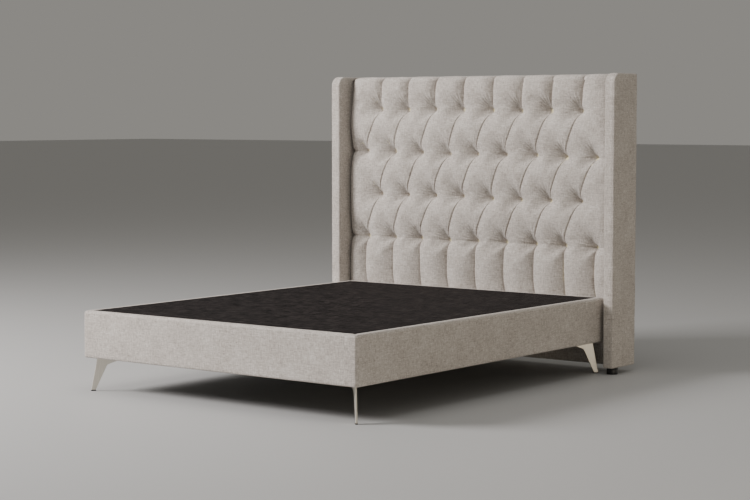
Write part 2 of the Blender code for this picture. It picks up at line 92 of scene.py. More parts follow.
# Tufting: the lattice of the ties, and how deep the cover is drawn in
PANEL_X = PAD_HIGH.x
CROWN_Y = PAD_LOW.y
TUFTS_PER_ROW = (8, 9, 8, 9)
TUFT_EDGE_MARGIN = 0.1057
TUFT_TOP_ROW_DROP = 0.172
TUFT_BOTTOM_ROW_RISE = 0.2305
TUFT_PITCH = 2 * (PANEL_X - TUFT_EDGE_MARGIN) / (max(TUFTS_PER_ROW) - 1)
LAST_ROW = len(TUFTS_PER_ROW) - 1
ROW_1 = PAD_HIGH.z - TUFT_TOP_ROW_DROP
ROW_4 = BASE_TOP + TUFT_BOTTOM_ROW_RISE
ROW_PITCH = (ROW_1 - ROW_4) / LAST_ROW
ROW_SHIFT = TUFT_PITCH / 2
TUFT_DEPTH = 0.062
TUFT_REACH = 0.25
TUFT_HOLLOW = 0.0215
TIE_DEPTH = 0.008
FAN_DEPTH = 0.0125
FAN_SPACING_DEGREES = 13
SIDE_CREASE_DEPTH = 0.0026
PLEAT_DEPTH = 0.0045
CREASE_DEPTH = 0.0075
TOP_PLEAT_DEPTH = 0.034
FOOT_PLEAT_DEPTH = 0.030
PAD_TOP_RADIUS = 0.030
EDGE_DROP = 0.036
EDGE_ROLL = 0.052
# Height of each pinched row, how deep it goes and how far it reaches up and down
EDGE_PINCHES = ((ROW_1 - ROW_PITCH, 0.036, 0.060), (ROW_4, 0.028, 0.045))
TOP_CORNER_DROP = 0.038
COVER_THICKNESS = 0.0016
COVER_LIFT = 0.003
SETTLING_LIMIT = 0.006
SETTLING_FRAMES = 20
SETTLING_GRID = (160, 108)
# First and last pleat that is sewn above the top row, between each two rows, and below the last
PLEATS_OF_BAND = ((0, 7), (0, 7), (1, 8), (1, 8), (1, 9))


# ---------------------------------------------------------------- colour and materials

def colour(text):
    """An sRGB hex value as linear RGBA."""
    parts = [int(text[i:i + 2], 16) / 255 for i in (1, 3, 5)]
    linear = [c / 12.92 if c <= 0.04045 else ((c + 0.055) / 1.055) ** 2.4 for c in parts]
    return (*linear, 1.0)


def add(tree, kind, settings=None, **inputs):
    """Add a node; settings are its properties, inputs are constants or sockets by input name."""
    made = tree.nodes.new(kind)
    for key, value in (settings or {}).items():
        setattr(made, key, value)
    for key, value in inputs.items():
        name = key.replace("_", " ")
        socket = made.inputs[int(key[1:])] if key[0] == "i" and key[1:].isdigit() else made.inputs[name]
        if isinstance(value, bpy.types.NodeSocket):
            tree.links.new(value, socket)
        else:
            socket.default_value = value
    return made


def new_material(name):
    """A material with only a Principled BSDF and its output; returns the material, tree and shader."""
    surface = bpy.data.materials.new(name)
    surface.use_nodes = True
    tree = surface.node_tree
    return surface, tree, tree.nodes["Principled BSDF"]


def stain(tree, shader, pattern, stops):
    """Colour the surface by a pattern; stops are (value, hex colour)."""
    made = add(tree, "ShaderNodeValToRGB", i0=pattern)
    points = made.color_ramp.elements
    while len(points) < len(stops):
        points.new(0.5)
    for point, (position, text) in zip(points, stops):
        point.position = position
        point.color = colour(text)
    tree.links.new(made.outputs["Color"], shader.inputs["Base Color"])


def thread_wave(tree, value, pitch):
    """Rise and fall of the threads along a coordinate in metres: it repeats every two pitches."""
    turned = add(tree, "ShaderNodeMath", {"operation": "MULTIPLY"}, i0=value, i1=math.pi / pitch)
    return add(tree, "ShaderNodeMath", {"operation": "SINE"}, i0=turned.outputs[0]).outputs[0]


def streaks(tree, uv, across, along, detail):
    """Noise drawn out into streaks: across and along are the sizes of one streak in metres."""
    mapped = add(tree, "ShaderNodeMapping", i0=uv, Scale=(1 / across, 1 / along, 1.0))
    made = add(tree, "ShaderNodeTexNoise", {"noise_dimensions": "2D"}, Vector=mapped.outputs[0],
               Scale=1.0, Detail=detail, Roughness=0.6)
    return made.outputs["Fac"]


def woven_material(name, stops, thread, slub, sheen, roughness, relief, specular=0.25, bars=0.18):
    """Plain-woven cloth on a UV map in metres: thread bumps, with slubs along both thread directions."""
    surface, tree, shader = new_material(name)
    uv = add(tree, "ShaderNodeUVMap", {"uv_map": "cloth"}).outputs[0]
    axes = add(tree, "ShaderNodeSeparateXYZ", Vector=uv)
    warp, weft = (thread_wave(tree, axes.outputs[axis], thread) for axis in "XY")
    crossing = add(tree, "ShaderNodeMath", {"operation": "MULTIPLY"}, i0=warp, i1=weft).outputs[0]
    fine_and_broad = []
    for warp_size, weft_size, detail in (((slub, slub * 7), (slub * 7, slub), 3.0),
                                         ((slub * 2.2, slub * 17), (slub * 19, slub * 2.4), 2.0)):
        one, two = (streaks(tree, uv, *size, detail) for size in (warp_size, weft_size))
        fine_and_broad.append(add(tree, "ShaderNodeMath", {"operation": "ADD"}, i0=one, i1=two).outputs[0])
    slubs, broad = fine_and_broad
    patches = add(tree, "ShaderNodeTexNoise", {"noise_dimensions": "2D"}, Vector=uv, Scale=9.0, Detail=2.0)
    tone = -0.05
    shares = ((patches.outputs["Fac"], 0.10), (crossing, 0.05), (slubs, 0.50 - bars), (broad, bars))
    for pattern, share in shares:
        tone = add(tree, "ShaderNodeMath", {"operation": "MULTIPLY_ADD"},
                   i0=pattern, i1=share, i2=tone).outputs[0]
    stain(tree, shader, tone, stops)
    height = add(tree, "ShaderNodeMath", {"operation": "MULTIPLY_ADD"}, i0=slubs, i1=0.9, i2=crossing)
    bump = add(tree, "ShaderNodeBump", Strength=0.6, Distance=relief, Height=height.outputs[0])
    tree.links.new(bump.outputs[0], shader.inputs["Normal"])
    for socket, value in (("Roughness", roughness), ("Specular IOR Level", specular), ("Sheen Weight", sheen),
                          ("Sheen Roughness", 0.5)):
        shader.inputs[socket].default_value = value
    return surface


def upholstery_cloth():
    """Linen-look polyester, woven from melange yarn: a soft matt face that shows pale and dark flecks.

    The threads are 1.1 mm apart as on the real cloth; the flecks are drawn 2.6 mm wide, coarser than
    the yarn, so that they still show from across a room.
    """
    stops = ((0.36, "#968D84"), (0.46, "#B9B1A9"), (0.54, "#C7C0B8"), (0.64, "#DFDAD4"))
    return woven_material("linen_look_polyester_woven", stops, 0.0011, 0.0026, 0.22, 0.92, 0.0005)


def deck_cloth():
    """Dark polyester deck cloth, woven and calendered flat: near black with long paler thread streaks."""
    stops = ((0.43, "#0D0B0B"), (0.50, "#1E1A1A"), (0.57, "#3A3534"))
    return woven_material("polyester_deck_cloth_woven", stops, 0.0009, 0.0040, 0.0, 0.85, 0.0003, 0.10, 0.32)


def grained_material(name, stops, per_metre, roughness, relief, metallic=0.0, cells_per_metre=0.0):
    """A material whose colour, roughness and relief follow one grain, so many to a metre on each axis."""
    surface, tree, shader = new_material(name)
    place = add(tree, "ShaderNodeTexCoord").outputs["Object"]
    mapped = add(tree, "ShaderNodeMapping", i0=place, Scale=per_metre)
    grain = add(tree, "ShaderNodeTexNoise", Vector=mapped.outputs[0], Scale=1.0, Detail=4.0).outputs["Fac"]
    stain(tree, shader, grain, stops)
    spread = add(tree, "ShaderNodeMapRange", Value=grain, i3=roughness - 0.06, i4=roughness + 0.06)
    tree.links.new(spread.outputs[0], shader.inputs["Roughness"])
    height = grain
    if cells_per_metre:
        cells = add(tree, "ShaderNodeTexVoronoi", Vector=place, Scale=cells_per_metre).outputs["Distance"]
        height = add(tree, "ShaderNodeMath", {"operation": "ADD"}, i0=grain, i1=cells).outputs[0]
    bump = add(tree, "ShaderNodeBump", Strength=0.5, Distance=relief, Height=height)
    tree.links.new(bump.outputs[0], shader.inputs["Normal"])
    shader.inputs["Metallic"].default_value = metallic
    return surface


def pine(axis):
    """Planed pine: pale straw with darker growth lines 3 mm apart along the plank's own length."""
    per_metre = [6.0 if axis == own else 330.0 for own in "XYZ"]
    stops = ((0.30, "#B98A55"), (0.50, "#D9B47E"), (0.68, "#E6C795"))
    return grained_material(f"pine_planed_along_{axis.lower()}", stops, per_metre, 0.55, 0.0002)


def plywood():
    """Poplar plywood, sanded: pale, broad, low-contrast figure along X."""
    stops = ((0.30, "#C39B6B"), (0.55, "#D8B88B"), (0.75, "#E2C79F"))
    return grained_material("poplar_plywood_sanded", stops, (8.0, 90.0, 90.0), 0.60, 0.0001)


def foam_block():
    """Polyurethane foam, cut from a block: dull cream, with 1 mm open cells."""
    stops = ((0.3, "#D8CFA6"), (0.7, "#EAE2C2"))
    return grained_material("polyurethane_foam_cut", stops, (60.0, 60.0, 60.0), 0.92, 0.0006,
                            cells_per_metre=900.0)


def felt_pad():
    """Needled recycled felt: grey with pale and dark fibres matted at random."""
    stops = ((0.30, "#5E5C5A"), (0.50, "#82807C"), (0.70, "#A9A59F"))
    return grained_material("recycled_felt_needled", stops, (420.0, 420.0, 420.0), 0.95, 0.0008)


def spunbond():
    """Spunbond polypropylene lining: black, faintly shiny fibres welded at 1.6 mm dots."""
    stops = ((0.30, "#141415"), (0.70, "#29292B"))
    return grained_material("polypropylene_lining_spunbond", stops, (300.0, 300.0, 300.0), 0.70, 0.0003,
                            cells_per_metre=620.0)


def nickel_steel():
    """Steel blades, satin nickel plated: warm grey, with fine brushing along the blade's height."""
    stops = ((0.25, "#D6D0C4"), (0.50, "#E2DDD2"), (0.75, "#ECE8DF"))
    return grained_material("steel_satin_nickel_plated", stops, (1500.0, 1500.0, 26.0), 0.42, 0.00002, 1.0)


def zinc_steel():
    """Pressed steel, bright zinc plated: cool grey with a faint blue-yellow mottle and a soft gloss."""
    stops = ((0.30, "#A6A9AB"), (0.50, "#BDBFBD"), (0.70, "#CDCBBF"))
    return grained_material("steel_zinc_plated", stops, (55.0, 55.0, 55.0), 0.36, 0.00005, 1.0)


def moulded_plastic():
    """Polypropylene, injection moulded with a fine spark texture: black with a broad soft highlight."""
    stops = ((0.30, "#0E0F0F"), (0.70, "#1A1B1B"))
    return grained_material("polypropylene_moulded_black", stops, (900.0, 900.0, 900.0), 0.36, 0.00006)


# ---------------------------------------------------------------- mesh helpers

def new_object(name, data):
    """An object of this data, in the scene."""
    made = bpy.data.objects.new(name, data)
    bpy.context.scene.collection.objects.link(made)
    return made


def mesh_object(name, points, faces, surface, uvs=None):
    """A smooth-shaded object from points and faces, with an optional UV per point in metres."""
    mesh = bpy.data.meshes.new(name)
    mesh.from_pydata([tuple(p) for p in points], [], faces)
    if uvs is not None:
        layer = mesh.uv_layers.new(name="cloth")
        corner = np.zeros(len(mesh.loops), np.int32)
        mesh.loops.foreach_get("vertex_index", corner)
        layer.data.foreach_set("uv", np.asarray(uvs, np.float32)[corner].ravel())
    mesh.materials.append(surface)
    mesh.validate()
    made = new_object(name, mesh)
    mesh.shade_smooth()
    return made


def face_outwards(piece):
    """Join doubled points and turn every face outwards."""
    bm = bmesh.new()
    bm.from_mesh(piece.data)
    bmesh.ops.remove_doubles(bm, verts=bm.verts, dist=WELD)
    bmesh.ops.recalc_face_normals(bm, faces=bm.faces)
    bm.to_mesh(piece.data)
    bm.free()
    return piece


def crisp_edges(piece, degrees):
    """Shade edges sharper than an angle as edges, and the rest smooth."""
    piece.data.set_sharp_from_angle(angle=math.radians(degrees))
    return piece


def thicken(piece, thickness):
    """Give an open skin its wall, as part of its mesh, behind the face that shows."""
    wall = piece.modifiers.new("wall", "SOLIDIFY")
    wall.thickness = thickness
    wall.offset = -1.0
    wall.use_even_offset = False
    bake_modifiers(piece)


def bake_modifiers(piece):
    """Make the shape that a piece's modifiers give it its own plain mesh."""
    graph = bpy.context.evaluated_depsgraph_get()
    made = bpy.data.meshes.new_from_object(piece.evaluated_get(graph))
    piece.modifiers.clear()
    old = piece.data
    piece.data = made
    made.name = piece.name
    bpy.data.meshes.remove(old)


def box_uv(piece):
    """UVs in metres, projected along the axis that each face looks along most."""
    mesh = piece.data
    layer = mesh.uv_layers.get("cloth") or mesh.uv_layers.new(name="cloth")
    planes = {0: (1, 2), 1: (0, 2), 2: (0, 1)}
    for face in mesh.polygons:
        axis = max(range(3), key=lambda i: abs(face.normal[i]))
        one, two = planes[axis]
        for loop in face.loop_indices:
            spot = mesh.vertices[mesh.loops[loop].vertex_index].co
            layer.data[loop].uv = (spot[one], spot[two])
    return piece


def loft(name, rings, surface):
    """Skin closed rings of equal length one after the other, and close both ends."""
    count = len(rings[0])
    points = [p for ring in rings for p in ring]
    faces = []
    for row in range(len(rings) - 1):
        for i in range(count):
            j = (i + 1) % count
            faces.append((row * count + i, row * count + j, (row + 1) * count + j, (row + 1) * count + i))
    faces.append(tuple(range(count)))
    faces.append(tuple(reversed(range(len(points) - count, len(points)))))
    return face_outwards(mesh_object(name, points, faces, surface))


def circle(radius, sides):
    """Points round a circle, as (x, y) from its centre."""
    return [(radius * math.cos(math.tau * i / sides), radius * math.sin(math.tau * i / sides))
            for i in range(sides)]


def quarter(steps):
    """Angles of a quarter turn, from 0 to 90 degrees in equal steps."""
    return [math.radians(90 / steps * i) for i in range(steps + 1)]


def turned(name, node, section, surface):
    """A turned piece in a CAD node's place; section makes its (radius, z) list from the node's own."""
    low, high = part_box(node)
    centre_x, centre_y = (low.x + high.x) / 2, (low.y + high.y) / 2
    rings = [[(centre_x + x, centre_y + y, z) for x, y in circle(radius, 48)]
             for radius, z in section((high.x - low.x) / 2, high.z)]
    piece = crisp_edges(loft(name, rings, surface), 32)
    finish_piece(piece, "black_plastic", node)


def unevenness(point, scale, amount, seed):
    """Smooth signed wander of a hand-covered surface, scale in metres."""
    return amount * noise.noise(Vector(point) / scale + Vector((seed, seed * 1.7, -seed)))


def waves(point, kinds):
    """Several wanders added up; each kind is its scale, amount and seed."""
    return sum(unevenness(point, *kind) for kind in kinds)


def finish_piece(piece, slot, *nodes, fill=None):
    """Ride on the bed and stand for the CAD nodes; slot and fill are not used."""
    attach(piece, BODY)
    if nodes:
        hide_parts(*nodes)
    return piece


# ---------------------------------------------------------------- tufted headboard

def unit(value):
    """A value held between 0 and 1."""
    return np.clip(value, 0, 1)


def fading(distance, reach, power=1):
    """1 at no distance, falling away to 0 over a reach."""
    return np.exp(-(np.abs(distance) / reach) ** power)


def pleat_shift(z):
    """How far the pleats have moved along X at height z, from where they pass the top row of tufts."""
    z = np.asarray(z, float)
    down = np.clip((ROW_1 - z) / ROW_PITCH, 0, LAST_ROW)
    row = np.floor(np.minimum(down, LAST_ROW - 1e-9))
    t = down - row
    shift = -ROW_SHIFT * (row + t + 0.085 * np.sin(np.pi * t ** 0.8))
    above = unit((z - ROW_1) / TUFT_TOP_ROW_DROP)
    shift = shift + 0.010 * np.sin(np.pi * np.minimum(above * 2, 1) / 2) + 0.022 * above ** 4
    below = np.clip((ROW_4 - z) / TUFT_BOTTOM_ROW_RISE, 0, 1.3)
    return shift - 0.004 * np.sin(np.pi * unit(below)) + 0.006 * unit(below - 0.7) ** 2 / 0.09


def pleat_offset(x, z):
    """Signed distance along X to the nearest pleat, and the number of that pleat."""
    across = x - pleat_shift(z) + (TUFTS_PER_ROW[0] - 1) / 2 * TUFT_PITCH
    number = np.round(across / TUFT_PITCH)
    return across - TUFT_PITCH * number, number


def tuft_centres():
    """X and height of every tuft, row by row from the top."""
    return [((i - (count - 1) / 2) * TUFT_PITCH, ROW_1 - row * ROW_PITCH)
            for row, count in enumerate(TUFTS_PER_ROW) for i in range(count)]


def pleat_present(number, z):
    """1 where the pleat of this number is sewn at height z, 0 where its band of the lattice has none."""
    band = np.clip(np.ceil((ROW_1 - z) / ROW_PITCH), 0, len(PLEATS_OF_BAND) - 1).astype(int)
    first = np.array([pair[0] for pair in PLEATS_OF_BAND])[band]
    last = np.array([pair[1] for pair in PLEATS_OF_BAND])[band]
    return ((number >= first) & (number <= last)).astype(float)


def bearing(angle, towards, spread, power=2):
    """1 where an angle points towards a direction, falling away on both sides; all in degrees."""
    off = np.degrees(angle) - towards
    return fading((off + 180) % 360 - 180, spread, power)


def tuft_pull(x, z):
    """How deep the tufts draw the cover in, and the fine creases that run into each of them."""
    pits, fans = np.zeros_like(x), np.zeros_like(x)
    for index, (cx, cz) in enumerate(tuft_centres()):
        dx, dz = x - cx, z - cz
        near = (np.abs(dx) < TUFT_REACH) & (np.abs(dz) < TUFT_REACH)
        dx, dz = dx[near], dz[near]
        r = np.hypot(dx, dz)
        angle = np.arctan2(dz, dx)
        vary = math.sin(index * 2.3)
        # The hollow runs further out to the left, and furthest to the upper left
        upper_left = bearing(angle, 121 + 5 * vary, 30)
        left = bearing(angle, 170, 64, 4)
        length = TUFT_HOLLOW + (0.016 + 0.006 * vary) * upper_left + 0.030 * left
        pits[near] += TUFT_DEPTH * fading(r, length, 1.08) * unit((TUFT_REACH - r) / 0.08)
        pits[near] += TIE_DEPTH * fading(r, 0.010, 2)
        # A fan of fine creases to the upper left, and one level crease to the left
        spokes = np.degrees(angle) / FAN_SPACING_DEGREES + 0.8 * math.sin(index * 1.7)
        ripple = np.abs(np.sin(math.pi * spokes)) ** 0.6 - 0.7
        fans[near] -= FAN_DEPTH * ripple * bearing(angle, 126, 42) * fading(r - 0.048, 0.036, 2)
        fans[near] += SIDE_CREASE_DEPTH * bearing(angle, 181, 5) * fading(r - 0.030, 0.024, 2)
    return pits, fans


def edge_pull(x, z):
    """How the cover falls away to its edges, and is pinched there beside the longer rows."""
    roll = unit(1 - (PANEL_X - np.abs(x)) / EDGE_ROLL)
    edge = EDGE_DROP * (1 - np.sqrt(unit(1 - roll ** 2)))
    share = np.where(x < 0, 1.0, 0.3)
    outside = unit((np.abs(x) - (PANEL_X - TUFT_EDGE_MARGIN)) / TUFT_EDGE_MARGIN)
    for cz, depth, height in EDGE_PINCHES:
        pinch = depth * outside ** 2 * fading(z - cz, height) + 0.012 * (outside > 0) * fading(z - cz, 0.008)
        edge = edge + share * pinch
    rise = unit((z - (PAD_HIGH.z - 0.265)) / 0.225) ** 1.3
    return edge + TOP_CORNER_DROP * rise * outside ** 2


def pad_depth(x, z):
    """Depth of the cover behind its crown at flat coordinates x and z."""
    e, number = pleat_offset(x, z)
    present = pleat_present(number, z)
    down = (ROW_1 - z) / ROW_PITCH
    t = np.clip(down, 0, LAST_ROW) - np.floor(np.clip(down, 0, LAST_ROW - 1e-9))
    above = np.clip((z - ROW_1) / TUFT_TOP_ROW_DROP, 0, 1.2)
    below = np.clip((ROW_4 - z) / TUFT_BOTTOM_ROW_RISE, 0, 1.3)
    middle = (down > 0) & (down < LAST_ROW)

    # Valley along each pleat, deepest at the tufts and wider on its left
    from_tuft = fading(t * ROW_PITCH, 0.026)
    to_tuft = fading((1 - t) * ROW_PITCH, 0.030)
    line = np.where(middle, PLEAT_DEPTH + 0.024 * from_tuft + 0.022 * to_tuft, 0)
    top_line = TOP_PLEAT_DEPTH - 0.016 * above ** 1.5 + 0.018 * fading(above * TUFT_TOP_ROW_DROP, 0.03)
    foot_line = FOOT_PLEAT_DEPTH + 0.022 * fading(below * TUFT_BOTTOM_ROW_RISE, 0.025)
    line = np.where(down <= 0, top_line, np.where(down >= LAST_ROW, foot_line, line))
    left_reach = np.where(middle, 0.0065 + 0.007 * from_tuft + 0.006 * to_tuft, 0.024)
    right_reach = np.where(middle, 0.0050, 0.0085)
    valley = line * fading(e, np.where(e < 0, left_reach, right_reach)) * present

    # Swell between the pleats, the tufts and edges, and the level seam along the lowest row
    share = unit(np.abs(e) / (TUFT_PITCH / 2))
    pillow = np.where(middle, 0.0030, 0.0060) * (1 - np.sin(np.pi / 2 * share)) * present
    pits, fans = tuft_pull(x, z)
    seam = 0.0020 * fading(z - ROW_4, 0.007) * (np.abs(x) < PANEL_X - 0.5 * TUFT_EDGE_MARGIN)
    total = (valley ** 3 + pits ** 3 + edge_pull(x, z) ** 3) ** (1 / 3) + pillow + fans + seam

    # Narrow stitched crease at the bottom of each valley
    stroke = np.where(middle, from_tuft, 0)
    crease = CREASE_DEPTH * (1 + 0.9 * stroke) * fading(e, 0.0016 + 0.0016 * stroke, 1.3) * present
    total = total + crease * np.clip(1 - pits / TUFT_DEPTH, 0.45 * np.sqrt(stroke), 1)
    return np.clip(total, 0.0, TUFT_DEPTH + 0.004)


def pleat_columns():
    """Distances from a pleat: close together at the crease and where the fans of creases lie to its left."""
    right = [0.0, 0.0009, 0.0020, 0.0034, 0.0056, 0.0090, 0.0135, 0.0190, 0.0255, 0.0330, 0.0410, 0.0490,
             0.0570, 0.0650, 0.0730, 0.0810, 0.0890, 0.0970, 0.1050]
    left = [TUFT_PITCH - d for d in (0.0009, 0.0020, 0.0036)]
    fine = list(np.arange(0.0060, 0.0610, 0.0027))
    return right + sorted(TUFT_PITCH - d for d in fine) + sorted(left)


def pad_rows():
    """Heights of the grid's rows: close together above each row of tufts, where the fans of creases lie."""
    rows = [ROW_1 - i * ROW_PITCH for i in range(len(TUFTS_PER_ROW))]
    z, heights = PAD_LOW.z + FIT, []
    top = PAD_HIGH.z - PAD_TOP_RADIUS
    while z < top - 0.002:
        heights.append(z)
        gap = min(max(r - 0.012 - z, z - r - 0.056, 0.0) for r in rows)
        z += 0.0028 + 0.0036 * min(gap / 0.03, 1.0)
    return heights + [top]


def pad_grid():
    """Flat grid in X and height whose columns follow the pleats, trimmed at the panel's sides."""
    columns, reach = [], PANEL_X + 0.11
    first = (TUFTS_PER_ROW[0] - 1) / 2 * TUFT_PITCH
    base = -first - 2 * TUFT_PITCH
    steps = pleat_columns()
    while base < PANEL_X + 3 * ROW_SHIFT + TUFT_PITCH:
        columns += [base + s for s in steps]
        base += TUFT_PITCH
    columns = np.array(columns)
    heights = np.array(pad_rows())
    shifts = pleat_shift(heights)
    bm = bmesh.new()
    rows = []
    for z, shift in zip(heights, shifts):
        rows.append([bm.verts.new((c + shift, 0.0, z)) for c in columns])
    for low, high in zip(rows, rows[1:]):
        for i in range(len(columns) - 1):
            if -reach < low[i].co.x < reach:
                bm.faces.new((low[i], low[i + 1], high[i + 1], high[i]))
    loose = [v for v in bm.verts if not v.link_faces]
    bmesh.ops.delete(bm, geom=loose, context="VERTS")
    for side in (-1, 1):
        bmesh.ops.bisect_plane(bm, geom=bm.verts[:] + bm.edges[:] + bm.faces[:], dist=0.0002,
                               plane_co=(side * PANEL_X, 0, 0), plane_no=(side, 0, 0), clear_outer=True)
    return bm


def wander(x, z, seed, amount, scale):
    """Slow sideways wander of hand-set tufts, fading to nothing at the panel's borders."""
    fade = unit((PANEL_X - np.abs(x)) / 0.08) * unit((PAD_HIGH.z - z) / 0.10)
    wave = np.sin(x / scale + seed) * np.cos(z / scale * 1.3 - seed)
    wave = wave + 0.5 * np.sin((x + z) / scale * 1.9 + seed)
    return amount * wave * fade * unit((z - PAD_LOW.z) / 0.10)


def settle_cover():
    """Let a coarse sheet of the cover swell under the wadding, held where it is tied, pleated or wrapped.

    Returns its grid of X, its grid of heights and how far each of its points has moved.
    """
    xs = np.linspace(-PANEL_X, PANEL_X, SETTLING_GRID[0])
    zs = np.linspace(PAD_LOW.z, PAD_HIGH.z - PAD_TOP_RADIUS, SETTLING_GRID[1])
    x, z = (grid.ravel() for grid in np.meshgrid(xs, zs))
    e, number = pleat_offset(x, z)
    held = fading(e, 0.010, 2) * pleat_present(number, z)
    for cx, cz in tuft_centres():
        held = np.maximum(held, fading(np.hypot(x - cx, z - cz), 0.020, 4))
    border = np.minimum(PANEL_X - np.abs(x), np.minimum(z - zs[0], zs[-1] - z))
    held = unit(np.maximum(held, 1 - border / 0.024))
    start = np.stack([x, CROWN_Y + pad_depth(x, z) + COVER_LIFT, z], 1)
    row = len(xs)
    faces = [(a, a + 1, a + 1 + row, a + row)
             for r in range(len(zs) - 1) for a in range(r * row, (r + 1) * row - 1)]
    sheet = mesh_object("cover_settling", start, faces, bpy.data.materials[0])
    group = sheet.vertex_groups.new(name="held")
    for index in np.flatnonzero(held > 0.03):
        group.add([int(index)], float(held[index]), "REPLACE")
    cloth = sheet.modifiers.new("cloth", "CLOTH")
    settings = cloth.settings
    settings.quality = 5
    settings.mass = 0.3
    settings.tension_stiffness = settings.compression_stiffness = 15
    settings.shear_stiffness = 5
    settings.bending_stiffness = 4
    settings.vertex_group_mass = "held"
    settings.pin_stiffness = 5
    settings.shrink_min = -0.006
    settings.use_pressure = True
    settings.uniform_pressure_force = 4
    settings.effector_weights.gravity = 0
    for frame_number in range(1, SETTLING_FRAMES + 1):
        bpy.context.scene.frame_set(frame_number)
    graph = bpy.context.evaluated_depsgraph_get()
    result = sheet.evaluated_get(graph).to_mesh()
    ended = np.zeros(len(start) * 3)
    result.vertices.foreach_get("co", ended)
    moved = ended.reshape(-1, 3) - start
    bpy.data.objects.remove(sheet)
    bpy.context.scene.frame_set(1)
    length = np.linalg.norm(moved, axis=1, keepdims=True)
    print("COVER SETTLED: mean %.4f largest %.4f m" % (length.mean(), length.max()))
    moved = moved * np.minimum(1, SETTLING_LIMIT / np.maximum(length, 1e-6))
    return xs, zs, moved.reshape(len(zs), len(xs), 3)


def settling(x, z):
    """How far the settled sheet has moved at flat coordinates x and z, as three arrays."""
    xs, zs, moved = SETTLED
    u = np.clip((x - xs[0]) / (xs[1] - xs[0]), 0, len(xs) - 1.001)
    v = np.clip((z - zs[0]) / (zs[1] - zs[0]), 0, len(zs) - 1.001)
    i, j = u.astype(int), v.astype(int)
    fu, fv = (u - i)[:, None], (v - j)[:, None]
    low = moved[j, i] * (1 - fu) + moved[j, i + 1] * fu
    high = moved[j + 1, i] * (1 - fu) + moved[j + 1, i + 1] * fu
    return (low * (1 - fv) + high * fv).T


def cover_points(x, z):
    """Places of the tufted cover's front for flat coordinates x and z, as arrays."""
    across = x / PANEL_X
    inside = unit((PANEL_X - np.abs(x)) / 0.05)
    slow = 0.0016 * np.sin(x * 23 + 1.1) * np.sin(z * 19 + 0.4)
    y = CROWN_Y + pad_depth(x, z) + slow + COVER_THICKNESS
    tilt = -0.008 * across * unit((z - ROW_4) / ROW_PITCH) * unit((PAD_HIGH.z - z) / 0.1)
    lean = 0.008 * across * unit((z - ROW_1) / TUFT_TOP_ROW_DROP) ** 2 * inside + 0.006 * unit(across) * inside
    move_x, move_y, move_z = settling(x, z)
    y = np.maximum(y + move_y + COVER_LIFT, CROWN_Y - 0.001)
    return (x + move_x + lean + wander(x, z, 0.7, 0.0030, 0.13), y,
            z + move_z + tilt + wander(x, z, 2.9, 0.0026, 0.11))


def build_tufted_cover(cloth):
    """The cover: front with tufts and pleats, rolled over the top and down to the back."""
    bm = pad_grid()
    top_z = PAD_HIGH.z - PAD_TOP_RADIUS
    rim = sorted((v for v in bm.verts if abs(v.co.z - top_z) < 1e-6), key=lambda v: v.co.x)
    mesh = bpy.data.meshes.new("tufted_headboard_cover")
    bm.verts.index_update()
    order = [v.index for v in rim]
    bm.to_mesh(mesh)
    bm.free()
    flat = np.zeros(len(mesh.vertices) * 3)
    mesh.vertices.foreach_get("co", flat)
    flat = flat.reshape(-1, 3)
    x, y, z = cover_points(flat[:, 0], flat[:, 2])
    points = [tuple(p) for p in np.stack([x, y, z], 1)]
    uvs = [(p[0], p[2]) for p in flat]
    faces = [tuple(f.vertices) for f in mesh.polygons]
    bpy.data.meshes.remove(mesh)

    roll_steps, flat_steps = 9, 7
    back_y = PAD_HIGH.y - 0.0005
    rim_x = flat[order, 0]
    rim_y = np.array([points[i][1] for i in order])
    previous = order
    length = 0.0
    for step in range(1, roll_steps + flat_steps + 1):
        share = min(step / roll_steps, 1.0)
        turn = math.pi / 2 * share
        fade = math.cos(turn) ** 0.7 if share < 1 else 0.0
        crown = CROWN_Y + COVER_THICKNESS
        sunk = rim_y - crown
        y_line = crown + PAD_TOP_RADIUS * (1 - math.cos(turn)) + sunk * (0.25 + 0.75 * fade)
        if step > roll_steps:
            y_line = y_line + (back_y - y_line) * ((step - roll_steps) / flat_steps)
        dip = 0.25 * sunk * math.sin(turn) * (1 - max(0, step - roll_steps) / flat_steps)
        z_line = top_z + (PAD_TOP_RADIUS - 0.0015) * math.sin(turn) - dip
        shift = pleat_shift(top_z + PAD_TOP_RADIUS * share) - pleat_shift(top_z)
        x_line = np.clip(rim_x + shift * unit((PANEL_X - np.abs(rim_x)) / 0.05), -PANEL_X, PANEL_X)
        length += 0.006
        base = len(points)
        points += [tuple(p) for p in np.stack([x_line, y_line, z_line], 1)]
        uvs += [(a, PAD_HIGH.z + length) for a in x_line]
        current = list(range(base, base + len(order)))
        for i in range(len(order) - 1):
            faces.append((previous[i], previous[i + 1], current[i + 1], current[i]))
        previous = current
    piece = mesh_object("tufted_headboard_cover", points, faces, cloth, uvs)
    thicken(piece, COVER_THICKNESS)
    return finish_piece(piece, "upholstery_fabric", "tufted_cover", fill=0.7)


